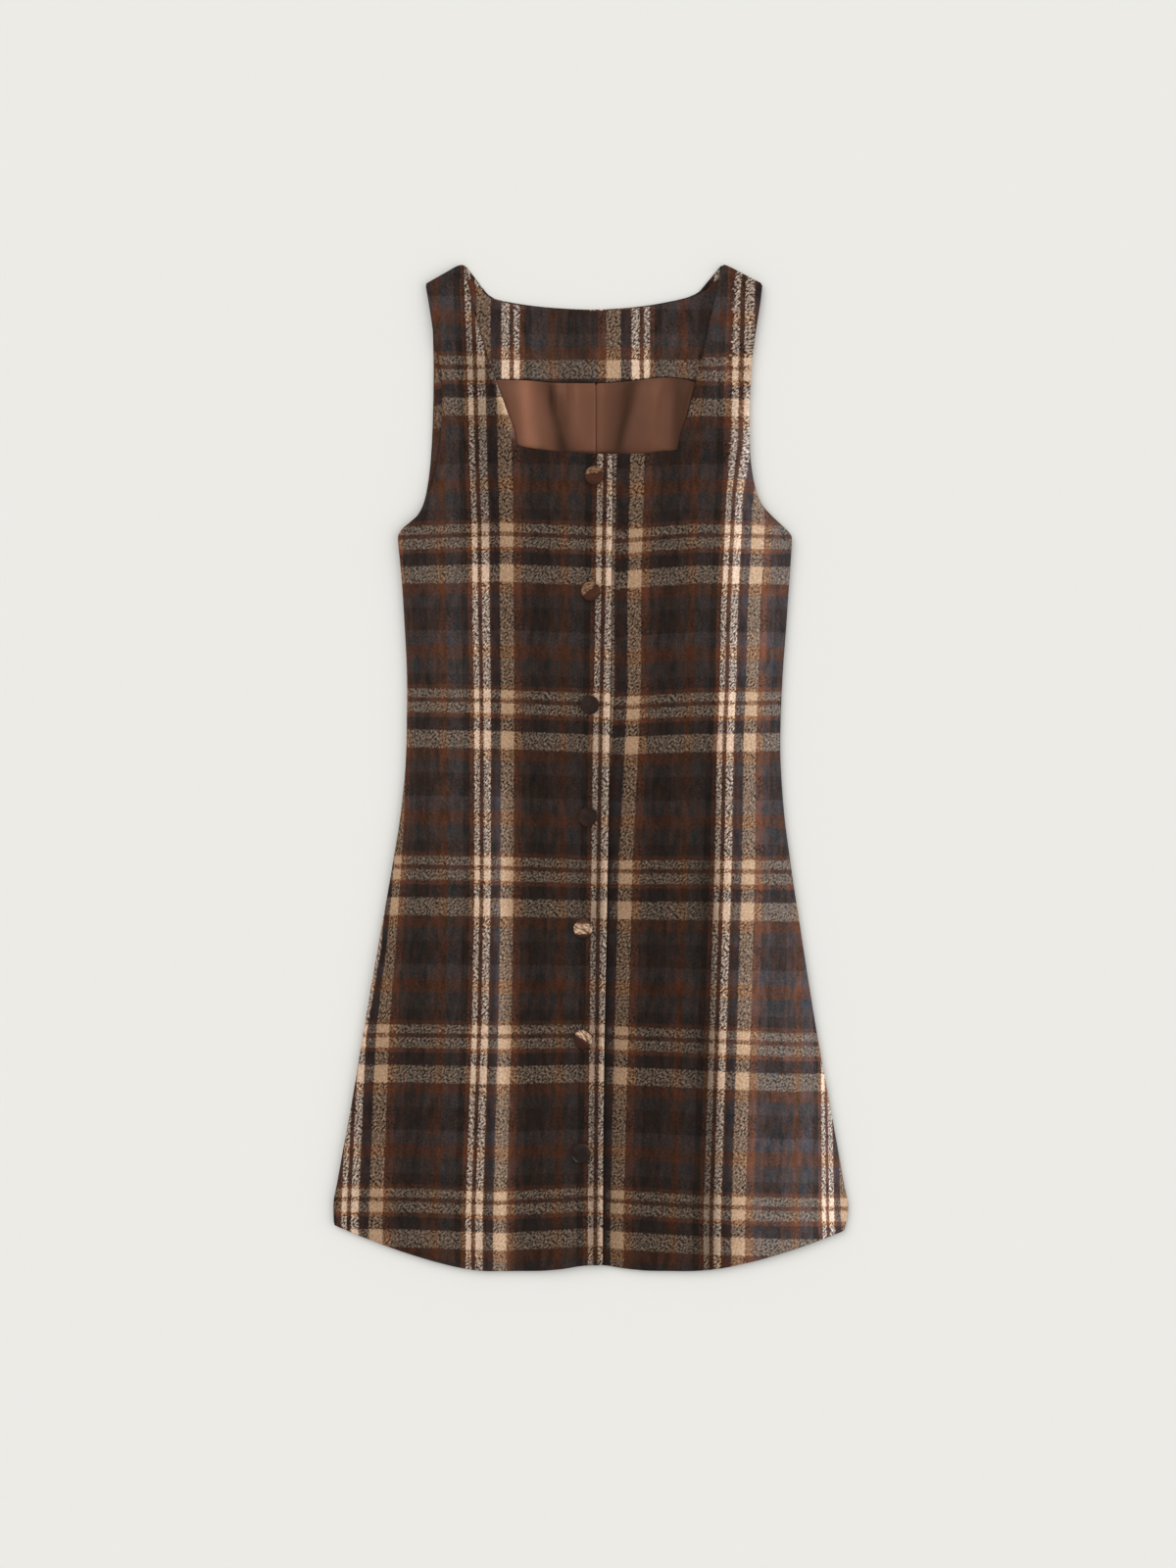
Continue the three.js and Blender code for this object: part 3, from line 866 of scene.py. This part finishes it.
def wool(name, fuzz, bump, sheen, smooth_by=0.0, ribs=1.0, shows_more=0.0):
    material, tree, shader = new_material(name)
    weave = place_weave(tree, shader, twill, "Threads", bump, RIB_HEIGHT)
    set_values(weave, {"Fuzz": fuzz, "Ribs": ribs, "Shows More": shows_more})
    set_values(shader, {
        "Roughness": WOOL_ROUGH - smooth_by, "Specular IOR Level": 0.10, "Sheen Weight": sheen,
        "Sheen Roughness": 0.45, "Sheen Tint": (0.9, 0.82, 0.75, 1)})
    if not smooth_by:
        tree.links.new(weave.outputs["Roughness"], shader.inputs["Roughness"])
    return material


dress_wool = wool("dress_wool", 0.20, 0.30, 0.03)
facing_wool = wool("facing_wool", 0.20, 0.30, 0.03, shows_more=-0.07)
button_wool = wool("button_wool", 0.20, 0.30, 0.10, smooth_by=0.42, ribs=0.6, shows_more=0.25)
print("wool made:", dress_wool.name, facing_wool.name, button_wool.name)

# %% [markdown]
# Real cloth is never quite flat. Creases are listed, each as a soft ridge or trough along a
# line, and a little smooth noise is added for the softness between them. A turned edge is thicker for
# the width of the seam allowance inside it, so a low ridge runs round each finished edge.

# %% Creases and pressed edges
ALLOWANCE = 9 * MM


def crease_heights(points, creases):
    """Ridges and troughs: from x, y to x, y, half width and height, all in millimetres."""
    height = np.zeros(len(points))
    for x0, y0, x1, y1, width, rise in creases:
        a, b = np.array((x0, y0)) * MM, np.array((x1, y1)) * MM
        run = b - a
        t = ((points - a) @ run) / (run @ run)
        along = np.sin(np.clip(t, 0, 1) * math.pi) ** 0.8
        away = np.abs((points - a) @ np.array((-run[1], run[0]))) / np.linalg.norm(run)
        height += rise * MM * along * bell(away / (width * MM))
    return height


def soft_unevenness(points, edge, seed, amount=0.30):
    broad = rough(points, 52 * MM, seed) * amount * MM
    fine = rough(points, 15 * MM, seed + 7) * 0.30 * amount * MM
    pucker = rough(points, 7 * MM, seed + 13) * 0.10 * MM * np.exp(-edge / (7 * MM))
    return broad + fine + pucker


def pressed_edge(edge, rise=0.28):
    return rise * MM * (1 - ramp(edge, 0.75 * ALLOWANCE, 1.15 * ALLOWANCE))


RIGHT_FRONT_CREASES = [
    (-140, 190, -60, 120, 16, 0.7), (-150, 120, -80, 60, 15, -0.5), (-60, 255, -30, 120, 18, -0.5),
    (-100, 60, -118, -330, 22, 0.9), (-60, -60, -70, -420, 20, -0.9), (-30, -150, -34, -440, 18, 0.6),
    (-150, -60, -190, -400, 18, -0.6), (-165, -150, -200, -400, 12, 0.6), (-135, 30, -60, 0, 12, -0.5),
]
LEFT_FRONT_CREASES = [
    (150, 190, 70, 130, 16, 0.7), (150, 110, 90, 50, 15, -0.6), (60, 250, 40, 110, 18, -0.5),
    (100, 40, 104, -360, 22, 0.9), (66, -80, 60, -430, 20, -0.8), (138, -60, 160, -400, 18, -0.6),
    (168, -140, 192, -390, 12, 0.7), (130, 30, 70, 10, 12, -0.5), (36, -140, 30, -430, 14, 0.5),
]


def right_front_form(points, edge):
    shape = crease_heights(points, RIGHT_FRONT_CREASES) * ramp(edge, 0, 20 * MM)
    return shape + soft_unevenness(points, edge, 1.0) + pressed_edge(edge)


def left_front_form(points, edge):
    clear = ramp(points[:, 0], 24 * MM, 50 * MM)  # it lies flat under the other front's edge
    shape = crease_heights(points, LEFT_FRONT_CREASES) * ramp(edge, 0, 20 * MM) * clear
    return shape + soft_unevenness(points, edge, 4.0) * (0.3 + 0.7 * clear) + pressed_edge(edge, 0.2)


def flat_form(points, edge):
    return np.zeros(len(points))


def facing_form(points, edge):
    return soft_unevenness(points, edge, 9.0, 0.15)


# %% The wool pieces
WOOL_THICK = 2.2 * MM
FACING_THICK = 1.6 * MM

right_front = sheet_of_cloth(
    "right_front_cloth", "right_front", WOOL_THICK, right_front_form, right_front_threads,
    tone=right_front_tone)
left_front = sheet_of_cloth(
    "left_front_cloth", "left_front", WOOL_THICK, left_front_form, left_front_threads,
    tone=left_front_tone)
back = sheet_of_cloth(
    "back_cloth", "back_panel", WOOL_THICK, flat_form, back_threads, even=0, grid=6 * MM)
facing = sheet_of_cloth(
    "facing_cloth", "back_facing", FACING_THICK, facing_form, facing_threads, tone=facing_painted_light, even=0)
for piece in (right_front, left_front, back):
    piece.data.materials.append(dress_wool)
facing.data.materials.append(facing_wool)

# %% [markdown]
# The lining is satin, a smooth weave that shines across its folds. It hangs loose from the facing,
# so its folds run down from that seam, fuller than the wool's. Long fine noise along the thread
# gives the uneven gleam of lining cloth, and highlight and shade are painted along its folds and seam.

# %% The lining satin
SLUBS = (3200, 60)  # bumps to the metre across and along the thread
CLOUDS = (55, 22)
SATIN_DARK = (0.112, 0.0455, 0.0270)
SATIN_PALE = (0.160, 0.0690, 0.0430)
SLUB_TONE = (0.86, 0.28)  # the least of it, and how much the slubs add
SATIN_ROUGH = (0.30, 0.10)
SLUB_HEIGHT = 0.05 * MM


def make_satin():
    group, given, result = new_weave("lining_weave", ["Place", "Tone"], [])
    place = parts_of(group, given.outputs["Place"])
    painted_gleam = parts_of(group, given.outputs["Tone"])["Z"]

    def bumps(rates, detail):
        x, y = (sum_of(group, "MULTIPLY", way, rate) for way, rate in zip(place, rates))
        return noise_value(group, vector_of(group, x, y), detail)

    def least_and_more(amounts, value):
        return sum_of(group, "ADD", amounts[0], sum_of(group, "MULTIPLY", value, amounts[1]))

    slub, cloud = bumps(SLUBS, 2.0), bumps(CLOUDS, 3.0)
    base = mix_colour(group, cloud, SATIN_DARK, SATIN_PALE)
    # The stored tone is painted highlight and shade along the folds, the seam and the edges
    streak = sum_of(group, "MULTIPLY", least_and_more(SLUB_TONE, slub), painted_gleam)
    tone = vector_of(group, streak, streak, streak)
    group.links.new(mix_colour(group, 1.0, base, tone, "MULTIPLY"), result.inputs["Color"])
    group.links.new(slub, result.inputs["Height"])
    group.links.new(least_and_more(SATIN_ROUGH, cloud), result.inputs["Roughness"])
    return group


def satin():
    material, tree, shader = new_material("lining_satin")
    weave = place_weave(tree, shader, make_satin(), "Tone", 0.25, SLUB_HEIGHT)
    place = tree.nodes.new("ShaderNodeTexCoord")
    tree.links.new(place.outputs["Object"], weave.inputs["Place"])
    tree.links.new(weave.outputs["Roughness"], shader.inputs["Roughness"])
    set_values(shader, {"Specular IOR Level": 0.42, "Specular Tint": (1.0, 0.55, 0.36, 1)})
    return material


lining_satin = satin()

# Folds of the lining: from x, y to x, y, half width and height, in millimetres
LINING_FOLDS = [
    (-80, 362, -64, 250, 7, -1.8), (-60, 366, -50, 240, 9, 3.2), (-46, 362, -12, 258, 8, -3.0),
    (-37, 362, -34, 318, 3, 0.7), (-30, 362, -26, 312, 3, -0.6), (-24, 362, -20, 300, 3, 0.7),
    (-16, 362, -12, 306, 3, -0.6), (-12, 340, 0, 262, 8, 1.2), (14, 362, 16, 262, 7, 0.8),
    (46, 362, 18, 258, 8, -2.4), (62, 366, 54, 246, 9, 2.6), (80, 362, 70, 250, 8, -1.8),
]
# Painted highlight and painted shade of the satin along them, in the same way, how much paler or darker
LINING_PAINTED_GLEAMS = [
    (-61, 386, -50, 226, 7, 0.95), (-86, 366, -72, 236, 9, -0.45), (-44, 386, -14, 226, 8, -0.70),
    (-24, 300, -14, 236, 12, -0.30), (-36, 366, -35, 310, 1.8, -0.26), (-29, 366, -28, 306, 1.8, 0.22),
    (-21, 366, -20, 300, 1.8, -0.22), (-14, 366, -12, 306, 1.8, 0.20), (44, 386, 14, 226, 8, -0.48),
    (62, 376, 55, 236, 6, 0.22),
]
LINING_THICK = 0.9 * MM
LINING_LOOSE = 3.2 * MM  # how far it stands off the back where the neck is open
# The seam's ridge and its groove: the place in mm, and the half width and height of the form, and
# then of the tone, which is painted highlight on the ridge and painted shade in the groove
SEAM_LINES = [(4.0, 1.2, 0.35, 1.1, 0.30), (5.8, 1.1, -0.6, 1.2, -0.42)]


def lining_form(points, edge):
    x, y = (points / MM).T
    below = 1 - ramp(y, 332, 352)
    above = ramp(y, 258, 290)
    shape = crease_heights(points, LINING_FOLDS) + LINING_LOOSE
    seam = sum(rise * MM * bell((x - at) / wide) for at, wide, rise, _, _ in SEAM_LINES)
    loose = soft_unevenness(points, edge, 21.0, 0.35)
    return (shape * (0.25 + 0.75 * below) + loose) * above + seam


# Painted highlight and shade on the satin: along its folds and seam, darker to the right, and painted
# shadow under the facing
def lining_painted_light(points, edge):
    x, y = (points / MM).T
    folds = crease_heights(points, LINING_PAINTED_GLEAMS) / MM
    seam = sum(paler * bell((x - at) / wide) for at, _, _, wide, paler in SEAM_LINES)
    right = -0.29 * ramp(x, 5, 20) - 0.36 * ramp(x, 68, 80)
    shade_under_facing = -0.25 * ramp(y, 344, 352)
    return 1.0 + folds + seam + right + shade_under_facing


def lining_room(points):
    """The lining stays above the back and, where a front covers it, below the front."""
    low = height_of("back_panel", points) + 0.1 * MM
    high = np.full(len(points), 0.1)
    for front in ("right_front", "left_front"):
        covered = inside(points, cut_line(front))
        high[covered] = height_of(front, points[covered], from_below=True) - 0.15 * MM
    print(f"room under the fronts: {(high - low).min() / MM:.1f} mm at least")
    return low, np.maximum(high, low + LINING_THICK)


def no_threads(points):
    return points * 0


lining_right, lining_left = (
    sheet_of_cloth(
        f"lining_{side}_cloth", f"back_lining_{side}", LINING_THICK, lining_form, no_threads,
        tone=lining_painted_light, even=12, grid=2 * MM, room=lining_room)
    for side in ("right", "left"))
for piece in (lining_right, lining_left):
    piece.data.materials.append(lining_satin)

# %% [markdown]
# Each button is a domed shell with a round of the dress's cloth pulled over it and gathered under the
# rim. A turned profile gives the dome, and a ripple that grows towards the rim gives the gathers.
# Each round was cut from another part of the check, so each has its own place in the thread count.

# %% The buttons
BUTTON_SIDES = 72
GATHERS = 17
# For each button: threads across and down at its middle, the turn of its cloth in degrees, and how
# many threads it shows across and down against the dress
BUTTON_CUTS = [
    (70, 152, -84, 0.8, 0.5), (69, 152, -52, 0.9, 0.5), (134, 120, 5, 0.6, 0.6),
    (90, 114, 45, 1.0, 1.0), (21, 152, -90, 0.7, 0.5), (28, 152, -125, 0.8, 0.5),
    (109, 39, -45, 1.0, 0.9),
]


RIM = [(0.80, 0.55), (0.93, 0.75), (0.985, 1.35), (1.0, 2.3)]  # share of the radius, height in mm
DOME_STEPS = 14
DOME_CURVE = (0.86, 0.92)  # a little fuller than a round dome, across and up
SHANK = [(3.4, 1.2), (3.0, 0.0)]  # radius and height in mm
SHANK_THREADS = (110, 90)
SKIN_FOOT = 0.8 * MM  # where the cover starts above the shank's foot
RIPPLE = 0.13 * MM
RIM_STRETCH = 0.25  # how much finer the check looks where the cloth is pulled over the rim


def dome_profile(radius, foot, top):
    """Radius and height of the button's skin, from under its rim to the middle of its crown."""
    profile = [(radius * share, foot + height * MM) for share, height in RIM]
    rim = profile[-1][1]
    for step in range(1, DOME_STEPS + 1):
        angle = math.pi / 2 * step / DOME_STEPS
        across, up = math.cos(angle) ** DOME_CURVE[0], math.sin(angle) ** DOME_CURVE[1]
        profile.append((radius * across, rim + (top - rim) * up))
    return profile


def covered_button(name, node, cut):
    low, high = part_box(node)
    centre = (low + high) / 2
    radius = (high.x - low.x) / 2
    profile = dome_profile(radius, low.z + SKIN_FOOT, high.z)
    points, threads, faces = [], [], []
    angles = [2 * math.pi * side / BUTTON_SIDES for side in range(BUTTON_SIDES)]
    across, down, turn, finer, closer = cut
    turn = math.radians(turn)
    for ring, (r, z) in enumerate(profile[:-1]):
        near_rim = (r / radius) ** 6
        for angle in angles:
            ripple = RIPPLE * near_rim * math.sin(GATHERS * angle + ring * 0.2)
            x, y = (r + ripple) * math.cos(angle), (r + ripple) * math.sin(angle)
            points.append((centre.x + x, centre.y + y, z + 0.4 * ripple))
            spread = 1 + RIM_STRETCH * near_rim
            u = (x * math.cos(turn) + y * math.sin(turn)) * spread
            v = (-x * math.sin(turn) + y * math.cos(turn)) * spread
            threads.append((across + finer * REPEAT * u / ACROSS, down - closer * REPEAT * v / DOWN))
    points.append((centre.x, centre.y, profile[-1][1]))
    threads.append((across, down))

    def band(lower, upper):
        """A band of faces between two rings, each given by its first point."""
        for side in range(BUTTON_SIDES):
            after = (side + 1) % BUTTON_SIDES
            faces.append((lower + side, lower + after, upper + after, upper + side))

    last = (len(profile) - 2) * BUTTON_SIDES
    for ring in range(0, last, BUTTON_SIDES):
        band(ring, ring + BUTTON_SIDES)
    for side in range(BUTTON_SIDES):
        faces.append((last + side, last + (side + 1) % BUTTON_SIDES, len(points) - 1))
    # The shank closes the underside
    foot = len(points)
    for wide, height in SHANK:
        for angle in angles:
            x, y = wide * MM * math.cos(angle), wide * MM * math.sin(angle)
            points.append((centre.x + x, centre.y + y, low.z + height * MM))
            threads.append(SHANK_THREADS)
    band(foot, 0)
    band(foot + BUTTON_SIDES, foot)
    faces.append(tuple(foot + BUTTON_SIDES + side for side in reversed(range(BUTTON_SIDES))))
    piece = make_piece(name, points, faces, threads, np.ones(len(threads)))
    piece.data.materials.append(button_wool)
    return piece


buttons = []
for number, cut in enumerate(BUTTON_CUTS, start=1):
    buttons.append(covered_button(f"button_{number}_cover", f"button_{number}", cut))
print("buttons:", len(buttons), "each with", len(buttons[0].data.polygons), "faces")

# %% [markdown]
# The floor is one pale plain surface, a little rough, so it takes only a faint soft shadow.

# %% The floor's finish
floor_finish, _, floor_shader = new_material("floor_paint")
set_values(floor_shader, {
    "Base Color": (0.84, 0.835, 0.80, 1), "Roughness": 0.9, "Specular IOR Level": 0.1})
floor_mesh.materials.append(floor_finish)

# %% [markdown]
# Last, each piece is tied to the body it rides on, and the solid that it stands for is hidden.

# %% Tie the pieces to the frame


def declare_cloth(piece, node):
    """Hides a sheet's solid and ties the sheet to the root body. Fullness is how much wider it was cut
    than it lies, for its folds.
    """
    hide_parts(node)
    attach(piece, "root")


declare_cloth(back, "back_panel")
declare_cloth(facing, "back_facing")
declare_cloth(lining_right, "back_lining_right")
declare_cloth(lining_left, "back_lining_left")
declare_cloth(right_front, "right_front")
declare_cloth(left_front, "left_front")
for number, piece in enumerate(buttons, start=1):
    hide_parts(f"button_{number}")
    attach(piece, "root")
